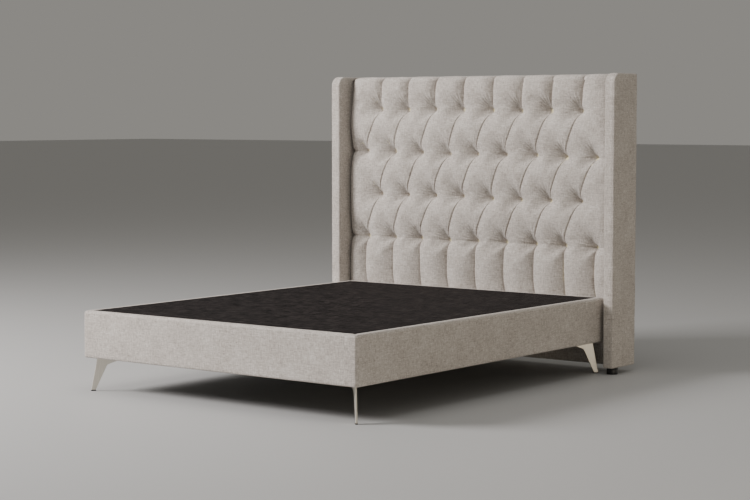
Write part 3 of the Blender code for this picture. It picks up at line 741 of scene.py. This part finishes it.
def build_headboard_foam(foam):
    """Foam slab, pressed in under the cover wherever a tuft or a pleat draws it back."""
    step, around, gap = 0.011, (-0.006, 0.006), 0.004
    low, high = FOAM_LOW.z, FOAM_HIGH.z - PAD_TOP_RADIUS - gap
    count_x, count_z = int(2 * PANEL_X / step), int((high - low) / step)
    xs = np.linspace(-PANEL_X + 0.001, PANEL_X - 0.001, count_x)
    flat_x, flat_z = (grid.ravel() for grid in np.meshgrid(xs, np.linspace(low, high, count_z)))
    cover = [cover_points(flat_x, flat_z)[1]]
    cover += [cover_points(flat_x + dx, flat_z + dz)[1] for dx in around for dz in around]
    front = np.minimum(np.max(cover, axis=0) + gap, FOAM_HIGH.y - 0.002)
    back = np.full_like(front, FOAM_HIGH.y)
    points = [*zip(flat_x, front, flat_z), *zip(flat_x, back, flat_z)]
    half = len(front)
    faces = []
    for r in range(count_z - 1):
        for c in range(count_x - 1):
            a = r * count_x + c
            faces.append((a, a + 1, a + 1 + count_x, a + count_x))
            faces.append((half + a, half + a + count_x, half + a + 1 + count_x, half + a + 1))
    border = list(range(count_x))
    border += [r * count_x + count_x - 1 for r in range(1, count_z)]
    border += [(count_z - 1) * count_x + c for c in range(count_x - 2, -1, -1)]
    border += [r * count_x for r in range(count_z - 2, 0, -1)]
    for a, b in zip(border, border[1:] + border[:1]):
        faces.append((a, b, half + b, half + a))
    piece = face_outwards(mesh_object("headboard_foam_slab", points, faces, foam))
    return finish_piece(piece, "foam", "headboard_foam", fill=0.9)


# ---------------------------------------------------------------- wings

def between(one, two, share):
    """The point at a share of the way from one point to another."""
    return tuple(a + (b - a) * share for a, b in zip(one, two))


def wing_outline(inset, straight):
    """Side view of a wing, moved inwards by inset: y and height, with the same count for any inset."""
    front_radius, back_radius, foot_radius = 0.047, 0.010, 0.008
    front, back = WING_LOW.y + inset, WING_HIGH.y - inset
    low, top = WING_LOW.z + inset, WING_HIGH.z - inset
    corners = [(front, low, foot_radius, 180), (back, low, foot_radius, 270),
               (back, top, back_radius, 0), (front, top, front_radius, 90)]
    signs = [(1, 1), (-1, 1), (-1, -1), (1, -1)]
    arcs = []
    for (y, z, radius, start), (sy, sz) in zip(corners, signs):
        r = max(radius - inset, 0.0006)
        centre = (y + sy * r, z + sz * r)
        turns = [math.radians(start) + a for a in quarter(8)]
        arcs.append([(centre[0] + r * math.cos(a), centre[1] + r * math.sin(a)) for a in turns])
    points = []
    for arc, following, count in zip(arcs, arcs[1:] + arcs[:1], straight):
        points += arc + [between(arc[-1], following[0], s / count) for s in range(1, count)]
    return points


def build_wing(name, side, cloth):
    """One padded wing: domed faces, rolled edges, and the seam that joins front strip and outer face."""
    inner, outer = side * WING_LOW.x, side * WING_HIGH.x
    thick = WING_HIGH.x - WING_LOW.x
    roll, seam_at = 0.0080, 0.0095
    straight = (14, 96, 14, 96)
    face_insets = (0.100, 0.085, 0.068, 0.052, 0.038, 0.026, 0.017, 0.011, 0.0085)
    profile = [(inset, 0.0, 0.0028 * (1 - math.exp(-inset / 0.02))) for inset in face_insets]
    profile += [(roll * (1 - math.sin(a)), roll * (1 - math.cos(a)), 0.0) for a in quarter(6)]
    rim = (seam_at - 0.0012, seam_at, seam_at + 0.0012, 0.015, 0.022, 0.030, 0.037, thick - roll - 0.0005)
    profile += [(0.0015 if d == seam_at else 0.0, d, 0.0) for d in rim]
    profile += [(roll * (1 - math.cos(a)), thick - roll * (1 - math.sin(a)), 0.0) for a in quarter(6)]
    profile += [(inset, thick, 0.0) for inset in reversed(face_insets)]
    rings = []
    for inset, across, dome in profile:
        x = outer - side * across
        ring = []
        for y, z in wing_outline(inset, straight):
            wave = waves((x, y, z), ((0.11, 0.0011, 3.0 + side), (0.035, 0.0004, 8.0)))
            face = 1.0 if across < 0.002 else (-0.6 if across > thick - 0.002 else 0.0)
            out = side * face * (dome * 0.35 + wave)
            held_x = min(max(x + out, min(inner, outer)), max(inner, outer))
            front_wave = abs(0.5 * wave) if face == 0.0 else 0.0
            ring.append((held_x, y + front_wave * (1 if y < (WING_LOW.y + WING_HIGH.y) / 2 else -1), z))
        rings.append(ring)
    piece = loft(f"wing_{name}_cover", rings, cloth)
    # The cloth stops where the wing is screwed against the stile
    bm = bmesh.new()
    bm.from_mesh(piece.data)
    hidden = []
    for face in bm.faces:
        c = face.calc_center_median()
        if abs(abs(c.x) - WING_LOW.x) < 0.0015 and STILE_LOW.y < c.y < STILE_HIGH.y:
            if STILE_LOW.z < c.z < STILE_HIGH.z and len(face.verts) == 4:
                hidden.append(face)
    bmesh.ops.delete(bm, geom=hidden, context="FACES")
    bm.to_mesh(piece.data)
    bm.free()
    box_uv(piece)
    thicken(piece, 0.0030)
    return finish_piece(piece, "upholstery_fabric", f"wing_cover_{name}", fill=0.8)


# ---------------------------------------------------------------- base

def plan_corner(side_x, side_y, inset, angle):
    """Point of the base's outline moved inwards by inset: rounded outside, square on the timber."""
    rounded = inset < BORDER_PAD - 1e-6
    radius = max(BORDER_CORNER_RADIUS - inset, 0.0) if rounded else 0.0
    reach = BORDER_CORNER_RADIUS if rounded else inset
    middle_y = (FOOT_Y + HEAD_Y) / 2
    x = side_x * (HALF_WIDTH - reach + radius * math.cos(angle))
    y = middle_y + side_y * ((HEAD_Y - FOOT_Y) / 2 - reach + radius * math.sin(angle))
    return x, y


def border_profile():
    """Section of the padded border: inset, height, and how free that point is to swell or sink."""
    low, top, edge, soft = BASE_BOTTOM, BASE_TOP, BORDER_EDGE_RADIUS, BORDER_LOW_RADIUS
    points = [(0.018, low + 0.0002, 0.0)]
    points += [(soft * (1 - math.sin(a)), low + soft * (1 - math.cos(a)), 0.3) for a in quarter(5)]
    face_low, face_top = low + soft, top - edge
    for i in range(1, 14):
        points.append((0.0, face_low + (face_top - 0.006 - face_low) * i / 14, 1.0))
    points += [(0.0, face_top - 0.0060, 1.0), (0.0001, face_top - 0.0042, 0.9),
               (0.0009, face_top - 0.0030, 0.9), (0.0001, face_top - 0.0018, 0.9)]
    points += [(edge * (1 - math.cos(a)), face_top + edge * math.sin(a), 0.8) for a in quarter(6)]
    inner = HALF_WIDTH - DECK_HIGH.x - FIT
    points += [(0.020, top - 0.0001, 0.5), (0.026, top - 0.0002, 0.4), (0.031, top - 0.0006, 0.2),
               (inner - 0.0015, top - 0.0014, 0.0), (inner, top - 0.0026, 0.0),
               (inner, top - TOP_BAND_THICKNESS, 0.0), (BORDER_PAD, top - TOP_BAND_THICKNESS, 0.0),
               (BORDER_PAD, low + UNDER_LAP_THICKNESS, 0.0), (UNDER_LAP, low + UNDER_LAP_THICKNESS, 0.0),
               (UNDER_LAP, low + 0.0006, 0.0)]
    return points


def build_border(name, corners, angles, cloth):
    """One padded side of the base, from the mitred seam at one corner to the seam at the next."""
    profile = border_profile()
    mid_z = (BASE_BOTTOM + BASE_TOP) / 2
    half_z = (BASE_TOP - BASE_BOTTOM) / 2
    length = (Vector(plan_corner(*corners[0], 0, 0)) - Vector(plan_corner(*corners[1], 0, 0))).length
    stations = []
    for (side_x, side_y), (first, last) in zip(corners, angles):
        arc_angles = [math.radians(first + (last - first) * i / 6) for i in range(7)]
        stations.append([[plan_corner(side_x, side_y, p[0], a) for p in profile] for a in arc_angles])
    straight = int(length / 0.013)
    run = [[between(a, b, i / straight) for a, b in zip(stations[0][-1], stations[1][0])]
           for i in range(1, straight)]
    plan = stations[0] + run + stations[1]
    corner_points = [Vector((side_x * HALF_WIDTH, FOOT_Y if side_y < 0 else HEAD_Y))
                     for side_x, side_y in corners]
    centre = Vector((0.0, (FOOT_Y + HEAD_Y) / 2))
    side_middle = (corner_points[0] + corner_points[1]) / 2
    outwards = (side_middle - centre).normalized()
    rings = []
    for ring_plan in plan:
        ring = []
        for (x, y), (inset, z, free) in zip(ring_plan, profile):
            spot = Vector((x, y))
            gap = min((spot - c).length for c in corner_points)
            seam = min(abs((spot - c).x - side_x * side_y * (spot - c).y) / math.sqrt(2)
                       for c, (side_x, side_y) in zip(corner_points, corners))
            crown = BORDER_CROWN * (1 - ((z - mid_z) / half_z) ** 2)
            sunk = SEAM_DEPTH * math.exp(-seam / SEAM_REACH) if inset < 0.034 else 0.0
            pucker = PUCKER_DEPTH * math.exp(-gap / PUCKER_REACH) * math.sin(z * 260 + x * 40)
            push = free * (waves((x, y, z), BORDER_WAVES) + crown + pucker - BORDER_TAKE_UP) - sunk
            lift = free * unevenness((x, y, 0), 0.09, 0.0007, 1.0) if z > BASE_TOP - 0.004 else 0.0
            along = outwards if z < BASE_TOP - 0.003 else outwards * 0.4
            if (free < 0.01 and inset > BORDER_PAD) or inset >= UNDER_LAP:
                along = outwards * 0.0
            drop = 0.6 * sunk if z > mid_z + 0.09 else 0
            ring.append((x + along.x * push, y + along.y * push, z + min(lift, 0.0004) - drop))
        rings.append(ring)
    for ring in (rings[0], rings[-1]):
        for i, (x, y, z) in enumerate(ring):
            shrink = (side_middle - Vector((x, y))).normalized() * FIT * 0.5
            ring[i] = (x + shrink.x, y + shrink.y, z)
    piece = loft(f"base_cover_{name}", rings, cloth)
    box_uv(piece)
    crisp_edges(piece, 60)
    return finish_piece(piece, "upholstery_fabric", f"border_{name}", fill=0.5)


def stretched_sheet(name, low, high, surface, step, sag, wall, plane=(0, 1)):
    """A thin cloth stretched flat between two corners in a plane of two axes, with slow unevenness."""
    one, two = plane
    normal = 3 - one - two
    count_one = int((high[one] - low[one]) / step)
    count_two = int((high[two] - low[two]) / step)
    points, uvs, faces = [], [], []
    for j in range(count_two + 1):
        for i in range(count_one + 1):
            p = [0.0, 0.0, 0.0]
            p[one] = low[one] + (high[one] - low[one]) * i / count_one
            p[two] = low[two] + (high[two] - low[two]) * j / count_two
            edge = min(i, count_one - i, j, count_two - j) * step
            soft = 1 - math.exp(-edge / 0.05)
            wave = abs(unevenness(p, 0.22, sag, 2.0)) + abs(unevenness(p, 0.07, sag * 0.3, 4.0))
            p[normal] = high[normal] - (wave * soft + 0.0008 * math.exp(-edge / 0.006))
            points.append(p)
            uvs.append((p[one], p[two]))
    row = count_one + 1
    for a in (j * row + i for j in range(count_two) for i in range(count_one)):
        quad = (a, a + 1, a + 1 + row, a + row)
        faces.append(quad if normal == 2 else tuple(reversed(quad)))
    piece = mesh_object(name, points, faces, surface, uvs)
    thicken(piece, wall)
    return piece


def build_lower_panel(cloth):
    """Plain padded panel below the tufting, lapped under the frame and up its back."""
    front, low = LOWER_LOW.y, LOWER_LOW.z
    top, back = LOWER_HIGH.z, LOWER_HIGH.y
    inner, radius, lap = BOARD_LOW.y - FIT, 0.006, low + UNDER_LAP_THICKNESS
    outline = [(front, top - 0.002, 0.0)]
    outline += [(front, top - 0.03 * k, 1.0) for k in range(1, 9) if top - 0.03 * k > low + radius]
    outline += [(front + radius * (1 - math.cos(a)), low + radius * (1 - math.sin(a)), 0.2) for a in quarter(5)]
    outline += [(back, low, 0.0), (back, lap, 0.0), (inner, lap, 0.0), (inner, top, 0.0),
                (front + 0.002, top, 0.0)]
    low_x, high_x = LOWER_LOW.x, LOWER_HIGH.x
    count = int((high_x - low_x) / 0.02)
    rings = []
    for x in (low_x + (high_x - low_x) * i / count for i in range(count + 1)):
        ring = []
        for y, z, free in outline:
            ring.append((x, y + abs(free * waves((x, y, z), LOWER_PANEL_WAVES)), z))
        rings.append(ring)
    piece = box_uv(loft("headboard_lower_cover", rings, cloth))
    crisp_edges(piece, 50)
    return finish_piece(piece, "upholstery_fabric", "lower_panel_cover", fill=0.4)


# ---------------------------------------------------------------- fixings by geometry nodes

def socket_id(tree, name):
    """Identifier of a tree's input, which its modifier is set by."""
    for item in tree.interface.items_tree:
        if item.item_type == "SOCKET" and item.in_out == "INPUT" and item.name == name:
            return item.identifier
    raise KeyError(name)


def repeat_on_points(name, spots, shape, surface, size):
    """Copies of a small shape on the vertices of a guide mesh, turned by its 'turn' attribute."""
    guide = bpy.data.meshes.new(name + "_guide")
    guide.from_pydata([spot for spot, _ in spots], [], [])
    turns = guide.attributes.new("turn", "FLOAT_VECTOR", "POINT")
    turns.data.foreach_set("vector", np.array([turn for _, turn in spots], np.float32).ravel())
    host = new_object(name, guide)

    tree = bpy.data.node_groups.new(name + "_tree", "GeometryNodeTree")
    inputs = (("Points", "Geometry"), ("Shape", "Object"), ("Size", "Float"), ("Finish", "Material"))
    for socket, kind in inputs:
        tree.interface.new_socket(socket, in_out="INPUT", socket_type="NodeSocket" + kind)
    tree.interface.new_socket("Result", in_out="OUTPUT", socket_type="NodeSocketGeometry")
    start = add(tree, "NodeGroupInput")
    picked = add(tree, "GeometryNodeObjectInfo", Object=start.outputs["Shape"])
    turn = add(tree, "GeometryNodeInputNamedAttribute", {"data_type": "FLOAT_VECTOR"}, Name="turn")
    rotation = add(tree, "FunctionNodeEulerToRotation", Euler=turn.outputs["Attribute"])
    placed = add(tree, "GeometryNodeInstanceOnPoints", Points=start.outputs["Points"],
                 Instance=picked.outputs["Geometry"], Rotation=rotation.outputs[0],
                 Scale=start.outputs["Size"])
    real = add(tree, "GeometryNodeRealizeInstances", Geometry=placed.outputs[0])
    painted = add(tree, "GeometryNodeSetMaterial", Geometry=real.outputs[0], Material=start.outputs["Finish"])
    add(tree, "NodeGroupOutput", i0=painted.outputs[0])

    modifier = host.modifiers.new("repeat", "NODES")
    modifier.node_group = tree
    for socket, value in (("Shape", shape), ("Size", size), ("Finish", surface)):
        modifier[socket_id(tree, socket)] = value
    bake_modifiers(host)
    bpy.data.objects.remove(shape)
    return host


def shape_object(name, bm):
    """A small shape to repeat, from its finished bmesh."""
    mesh = bpy.data.meshes.new(name)
    bm.to_mesh(mesh)
    bm.free()
    return new_object(name, mesh)


def staple_shape():
    """Crown of an upholstery staple, 1 m long in X so that a size in metres scales it."""
    low, high = (-0.5, -0.06, 0.0), (0.5, 0.06, 0.07)
    bm = bmesh.new()
    for v in bmesh.ops.create_cube(bm, size=1.0)["verts"]:
        v.co = Vector([(low[i] + high[i]) / 2 + v.co[i] * (high[i] - low[i]) for i in range(3)])
    bmesh.ops.bevel(bm, geom=bm.edges[:], offset=0.03, segments=1, affect="EDGES")
    return shape_object("staple", bm)


def screw_shape():
    """Pan head of a wood screw with a cross recess, 1 m across, its axis along Z."""
    sides = 14
    bm = bmesh.new()
    rings = [[bm.verts.new((x, y, z)) for x, y in circle(radius, sides)]
             for radius, z in ((0.5, 0.0), (0.49, 0.12), (0.40, 0.26), (0.22, 0.33))]
    pit = bm.verts.new((0.0, 0.0, 0.12))
    for i in range(sides):
        j = (i + 1) % sides
        for one, two in zip(rings, rings[1:]):
            bm.faces.new((one[i], one[j], two[j], two[i]))
        bm.faces.new((rings[-1][i], rings[-1][j], pit))
    bm.faces.new(list(reversed(rings[0])))
    return shape_object("screw_head", bm)


def edge_spots(low, high, inset, pitch, plane, level, turn_flat):
    """Spots along a rectangle's edges: plane is the two axes that it lies in, level its third coordinate."""
    one, two = plane
    third = 3 - one - two
    spots = []
    for axis, other, turn in ((one, two, 0.0), (two, one, math.pi / 2)):
        span = high[axis] - low[axis] - 2 * inset
        count = int(span / pitch)
        for edge in (low[other] + inset, high[other] - inset):
            for i in range(count + 1):
                p = [0.0, 0.0, 0.0]
                p[axis] = low[axis] + inset + span * i / count
                p[other] = edge
                p[third] = level
                spots.append((tuple(p), turn_flat(turn)))
    return spots


def build_staples(wire):
    """Staples that hold the lining under the base and the lining on the headboard's back."""
    under = edge_spots(DUST_LOW, DUST_HIGH, 0.010, 0.045, (0, 1), DUST_LOW.z - 0.0001,
                       lambda turn: (math.pi, 0.0, turn))
    behind = edge_spots(BACK_LOW, BACK_HIGH, 0.012, 0.045, (0, 2), BACK_HIGH.y - 0.0004,
                        lambda turn: (-math.pi / 2, turn, 0.0))
    for place, spots in (("base", under), ("headboard", behind)):
        piece = repeat_on_points("lining_staples_" + place, spots, staple_shape(), wire, 0.010)
        finish_piece(piece, "zinc_steel")


def build_leg_screws(metal):
    """Four pan-head screws up through each leg's plate."""
    spots = []
    steps = (LEG_SCREW_MARGIN, LEG_PLATE - LEG_SCREW_MARGIN)
    for name in CORNERS:
        low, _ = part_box("leg_" + name)
        side_x, side_y = (1 if low.x > 0 else -1), (1 if low.y > 0 else -1)
        plate_x = HALF_WIDTH - LEG_PLATE_INSET
        plate_y = (HEAD_Y if side_y > 0 else -FOOT_Y) - LEG_PLATE_INSET
        for dx, dy in ((dx, dy) for dx in steps for dy in steps):
            spot = (side_x * (plate_x - dx), side_y * (plate_y - dy), BASE_BOTTOM - LEG_PLATE_THICKNESS)
            spots.append((spot, (math.pi, 0.0, 0.4 * len(spots))))
    piece = repeat_on_points("leg_plate_screws", spots, screw_shape(), metal, 0.0075)
    return finish_piece(piece, "zinc_steel")


# ---------------------------------------------------------------- turned plastic pieces

def build_feet(plastic):
    """Moulded feet under the wings: a ribbed drum with a chamfered sole and a shallow neck."""
    def drum(radius, top):
        return [(radius - 0.0035, 0.0), (radius - 0.0012, 0.0008), (radius - 0.0002, 0.003), (radius, 0.005),
                (radius, top - 0.0090), (radius - 0.0006, top - 0.0075), (radius - 0.0022, top - 0.0062),
                (radius - 0.0022, top - 0.0040), (radius - 0.0004, top - 0.0030), (radius, top - 0.0018),
                (radius - 0.0006, top)]
    for corner in CORNERS:
        turned("wing_foot_" + corner, "headboard_foot_" + corner, drum, plastic)


def build_centre_leg(plastic):
    """Plain tube under the middle of the base, flanged at its top, with a moulded foot."""
    shaft, foot = 0.022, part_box("centre_leg")[0].z
    turned("centre_leg_tube", "centre_leg", lambda flange, top: [
        (shaft - 0.0006, foot), (shaft, foot + 0.001), (shaft, top - 0.012), (shaft + 0.002, top - 0.008),
        (flange - 0.001, top - 0.006), (flange, top - 0.005), (flange, top - 0.0006),
        (flange - 0.0006, top)], plastic)
    turned("centre_leg_foot", "centre_leg_pad", lambda pad, top: [
        (pad - 0.003, 0.0), (pad - 0.001, 0.0006), (pad, 0.002), (pad, top - 0.002),
        (pad - 0.0012, top - 0.0005), (pad - 0.002, top)], plastic)


# ---------------------------------------------------------------- hidden timber and metal

def paint(nodes, surface):
    """Give CAD nodes that stay in view their finish."""
    for name in nodes:
        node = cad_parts[name]
        node.data.materials.clear()
        node.data.materials.append(surface)


def paint_frame_nodes(metal, zinc, plastic):
    along = {axis: pine(axis) for axis in "XYZ"}
    paint(["base_left_rail", "base_right_rail", "base_centre_rail"], along["Y"])
    paint(["base_foot_rail", "base_head_rail", "headboard_bottom_rail", "headboard_mid_rail",
           "headboard_top_rail"] + [f"deck_slat_{i}" for i in range(1, 9)], along["X"])
    paint(["headboard_stile_left", "headboard_stile_right", "headboard_centre_stile", "wing_board_left",
           "wing_board_right"] + ["corner_block_" + c for c in CORNERS], along["Z"])
    paint(["tuft_board", "deck_board"], plywood())
    paint(["deck_felt"], felt_pad())
    paint(["leg_" + c for c in CORNERS], metal)
    paint(["glide_" + c for c in CORNERS], plastic)
    paint([f"{kind}_{side}" for kind in ("bracket", "base_bolt", "headboard_bolt")
           for side in ("left", "right")], zinc)


# ---------------------------------------------------------------- stage, light and camera

def build_stage():
    """A plain pale floor, wide enough to run out of sight on every side."""
    surface, _, shader = new_material("studio_floor_painted")
    shader.inputs["Base Color"].default_value = colour("#B9B9B8")
    shader.inputs["Roughness"].default_value = 0.55
    reach = 60.0
    points = [(-reach, -reach, 0.0), (reach, -reach, 0.0), (reach, reach, 0.0), (-reach, reach, 0.0)]
    mesh_object("studio_floor", points, [(0, 1, 2, 3)], surface)


def area_light(name, place, target, size, power, tint):
    """A rectangular softbox that faces its target."""
    data = bpy.data.lights.new(name, "AREA")
    data.shape = "RECTANGLE"
    data.size, data.size_y = size
    data.energy = power
    data.color = colour(tint)[:3]
    lamp = new_object(name, data)
    lamp.location = place
    lamp.rotation_mode = "QUATERNION"
    lamp.rotation_quaternion = (Vector(target) - Vector(place)).to_track_quat("-Z", "Y")


def build_light():
    """Soft daylight from the front left, weaker warm fill from the right and behind."""
    world = bpy.data.worlds.new("studio")
    world.use_nodes = True
    background = world.node_tree.nodes["Background"]
    background.inputs["Color"].default_value = colour("#F6F2EA")
    background.inputs["Strength"].default_value = 0.29
    bpy.context.scene.world = world
    area_light("key_softbox", (-4.6, -4.4, 3.6), (0.0, 0.3, 0.7), (2.6, 2.2), 755.0, "#FFFBFA")
    area_light("side_softbox", (4.6, -1.1, 0.55), (0.5, 0.2, 0.4), (3.2, 0.9), 25.0, "#FFF0D8")
    area_light("rear_softbox", (4.6, 5.4, 0.9), (0.7, 0.7, 0.3), (3.4, 1.7), 20.0, "#FFF0D8")
    area_light("top_fill", (0.5, -1.0, 5.0), (0.0, 0.2, 0.3), (4.0, 4.0), 60.0, "#FFFFFF")


def build_camera():
    """A long lens to the right of the foot, a little below the headboard's top."""
    data = bpy.data.cameras.new("camera")
    data.sensor_width = 36.0
    data.lens = 89.586
    camera = new_object("camera", data)
    camera.location = (5.159, -6.660, 1.204)
    camera.rotation_euler = (math.radians(90 - 4.157), 0.0, math.radians(37.401))
    bpy.context.scene.camera = camera


# ---------------------------------------------------------------- the bed

build_camera()
build_light()
build_stage()

CLOTH = upholstery_cloth()
LINING = spunbond()
PLASTIC = moulded_plastic()
ZINC = zinc_steel()
NICKEL = nickel_steel()

SETTLED = settle_cover()
build_tufted_cover(CLOTH)
build_headboard_foam(foam_block())
build_wing("left", -1, CLOTH)
build_wing("right", 1, CLOTH)
build_lower_panel(CLOTH)

build_border("foot", ((-1, -1), (1, -1)), ((45, 90), (90, 45)), CLOTH)
build_border("head", ((1, 1), (-1, 1)), ((45, 90), (90, 45)), CLOTH)
build_border("left", ((-1, 1), (-1, -1)), ((45, 0), (0, 45)), CLOTH)
build_border("right", ((1, -1), (1, 1)), ((45, 0), (0, 45)), CLOTH)

DECK = stretched_sheet("deck_top_cloth", DECK_LOW, DECK_HIGH, deck_cloth(), 0.016, 0.0010, 0.0012)
finish_piece(DECK, "deck_cloth", "deck_cloth")

DUST = stretched_sheet("base_lining", DUST_LOW, DUST_HIGH, LINING, 0.03, 0.0003, 0.0005)
finish_piece(DUST, "dust_cloth", "base_dust_cover")

BACK = stretched_sheet("headboard_back_lining", BACK_LOW, BACK_HIGH, LINING, 0.03, 0.0016, 0.0008, (0, 2))
finish_piece(BACK, "dust_cloth", "headboard_back_cover")

build_staples(ZINC)
build_leg_screws(ZINC)
build_feet(PLASTIC)
build_centre_leg(PLASTIC)
paint_frame_nodes(NICKEL, ZINC, PLASTIC)
